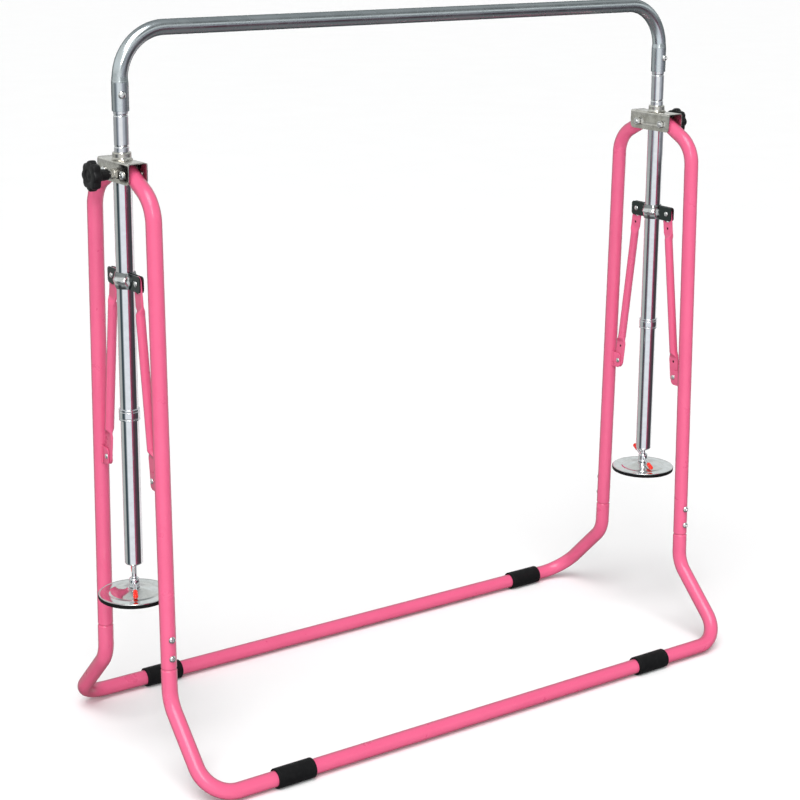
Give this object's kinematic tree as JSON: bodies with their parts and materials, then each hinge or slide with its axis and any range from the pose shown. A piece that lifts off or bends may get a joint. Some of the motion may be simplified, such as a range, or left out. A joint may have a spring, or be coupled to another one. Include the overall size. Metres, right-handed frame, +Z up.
{
  "type": "kip bar",
  "caption": "Folding gymnastics kip bar: a round bar on telescopic posts, with pivoted legs on wide base tubes, strut collars, lock knobs and screw feet.",
  "frame": {"origin": "on the floor, under the middle of the bar", "axes": "+X along the bar, +Y from the front legs to the rear legs, +Z up"},
  "size_m": [1.35, 0.5466, 1.3229],
  "materials": {
    "pink_paint": "smooth satin-gloss pink powder coat",
    "bar_paint": "smooth metallic silver-grey coat",
    "chrome": "polished",
    "nickel": "nickel plate, slightly uneven",
    "black_nickel": "polished dark nickel plate",
    "zinc": "bright zinc plate",
    "knob_black": "moulded, fine grain",
    "rubber": "matt",
    "lever_caps": "dipped vinyl"
  },
  "bodies": {
    "posts": {"outer_post_left": "chrome", "bracket_left": "nickel", "stop_ring_left": "chrome", "pivot_bolt_front_left": "zinc", "pivot_bolt_rear_left": "zinc", "outer_post_right": "chrome", "bracket_right": "nickel", "stop_ring_right": "chrome", "pivot_bolt_front_right": "zinc", "pivot_bolt_rear_right": "zinc"},
    "bar": {"top_bar": "bar_paint", "inner_post_left": "chrome", "bar_bolt_left": "zinc", "inner_post_right": "chrome", "bar_bolt_right": "zinc"},
    "front_legs": {"base_frame_front": "pink_paint", "upper_leg_front_left": "pink_paint", "leg_bolt_front_left_lower": "zinc", "leg_bolt_front_left_upper": "zinc", "rubber_sleeve_front_left": "rubber", "lower_rivet_front_left": "zinc", "upper_leg_front_right": "pink_paint", "leg_bolt_front_right_lower": "zinc", "leg_bolt_front_right_upper": "zinc", "rubber_sleeve_front_right": "rubber", "lower_rivet_front_right": "zinc"},
    "rear_legs": {"base_frame_rear": "pink_paint", "upper_leg_rear_left": "pink_paint", "leg_bolt_rear_left_lower": "zinc", "leg_bolt_rear_left_upper": "zinc", "rubber_sleeve_rear_left": "rubber", "lower_rivet_rear_left": "zinc", "upper_leg_rear_right": "pink_paint", "leg_bolt_rear_right_lower": "zinc", "leg_bolt_rear_right_upper": "zinc", "rubber_sleeve_rear_right": "rubber", "lower_rivet_rear_right": "zinc"},
    "collar_left": {"collar_left_outer_half": "black_nickel", "collar_left_inner_half": "black_nickel", "collar_rivet_front_left": "zinc", "collar_rivet_rear_left": "zinc"},
    "strut_front_left": {"strut_front_left": "pink_paint"},
    "strut_rear_left": {"strut_rear_left": "pink_paint"},
    "knob_left": {"knob_left": "knob_black"},
    "foot_left": {"foot_disc_left": "chrome", "foot_pad_left": "rubber"},
    "screw_left": {"foot_spindle_left": "chrome", "foot_lever_left": "chrome"},
    "collar_right": {"collar_right_outer_half": "black_nickel", "collar_right_inner_half": "black_nickel", "collar_rivet_front_right": "zinc", "collar_rivet_rear_right": "zinc"},
    "strut_front_right": {"strut_front_right": "pink_paint"},
    "strut_rear_right": {"strut_rear_right": "pink_paint"},
    "knob_right": {"knob_right": "knob_black"},
    "foot_right": {"foot_disc_right": "chrome", "foot_pad_right": "rubber"},
    "screw_right": {"foot_spindle_right": "chrome", "foot_lever_right": "chrome"}
  },
  "joints": [
    {"name": "bar_height", "type": "slide", "parent": "posts", "child": "bar", "axis": [0, 0, 1], "range_m": [-0.065, 0.3]},
    {"name": "front_fold", "type": "hinge", "parent": "posts", "child": "front_legs", "pos_m": [0, -0.034, 1.0698], "axis": [-1, 0, 0], "range_deg": [-2, 31]},
    {"name": "rear_fold", "type": "hinge", "parent": "posts", "child": "rear_legs", "pos_m": [0, 0.034, 1.0698], "axis": [1, 0, 0], "range_deg": [-2.1, 31.1]},
    {"name": "collar_left_slide", "type": "slide", "parent": "posts", "child": "collar_left", "axis": [0, 0, -1], "range_m": [-0.0042, 0.063]},
    {"name": "strut_front_left_hinge", "type": "hinge", "parent": "front_legs", "child": "strut_front_left", "pos_m": [-0.61, -0.086, 0.5463], "axis": [-1, 0, 0], "range_deg": [-1.51, 21.98]},
    {"name": "strut_rear_left_hinge", "type": "hinge", "parent": "rear_legs", "child": "strut_rear_left", "pos_m": [-0.61, 0.086, 0.5463], "axis": [1, 0, 0], "range_deg": [-1.51, 21.98]},
    {"name": "knob_left_turn", "type": "hinge", "parent": "posts", "child": "knob_left", "pos_m": [-0.61, 0, 1.0683], "axis": [-1, 0, 0], "continuous": true},
    {"name": "foot_left_height", "type": "slide", "parent": "posts", "child": "foot_left", "axis": [0, 0, -1], "range_m": [-0.012, 0.045]},
    {"name": "foot_left_screw", "type": "hinge", "parent": "foot_left", "child": "screw_left", "pos_m": [-0.61, 0, 0.307], "axis": [0, 0, 1], "continuous": true},
    {"name": "collar_right_slide", "type": "slide", "parent": "posts", "child": "collar_right", "axis": [0, 0, -1], "range_m": [-0.0042, 0.063]},
    {"name": "strut_front_right_hinge", "type": "hinge", "parent": "front_legs", "child": "strut_front_right", "pos_m": [0.61, -0.086, 0.5463], "axis": [-1, 0, 0], "range_deg": [-1.51, 21.98]},
    {"name": "strut_rear_right_hinge", "type": "hinge", "parent": "rear_legs", "child": "strut_rear_right", "pos_m": [0.61, 0.086, 0.5463], "axis": [1, 0, 0], "range_deg": [-1.51, 21.98]},
    {"name": "knob_right_turn", "type": "hinge", "parent": "posts", "child": "knob_right", "pos_m": [0.61, 0, 1.0683], "axis": [1, 0, 0], "continuous": true},
    {"name": "foot_right_height", "type": "slide", "parent": "posts", "child": "foot_right", "axis": [0, 0, -1], "range_m": [-0.004, 0.045]},
    {"name": "foot_right_screw", "type": "hinge", "parent": "foot_right", "child": "screw_right", "pos_m": [0.61, 0, 0.3225], "axis": [0, 0, 1], "continuous": true}
  ],
  "couplings": [
    {"joint": "rear_fold", "follows": "front_fold", "ratio": 1},
    {"joint": "collar_left_slide", "follows": "front_fold", "m_per_rad": 0.11607},
    {"joint": "strut_front_left_hinge", "follows": "front_fold", "ratio": 0.7059},
    {"joint": "strut_rear_left_hinge", "follows": "front_fold", "ratio": 0.7059},
    {"joint": "collar_right_slide", "follows": "front_fold", "m_per_rad": 0.11607},
    {"joint": "strut_front_right_hinge", "follows": "front_fold", "ratio": 0.7059},
    {"joint": "strut_rear_right_hinge", "follows": "front_fold", "ratio": 0.7059}
  ]
}
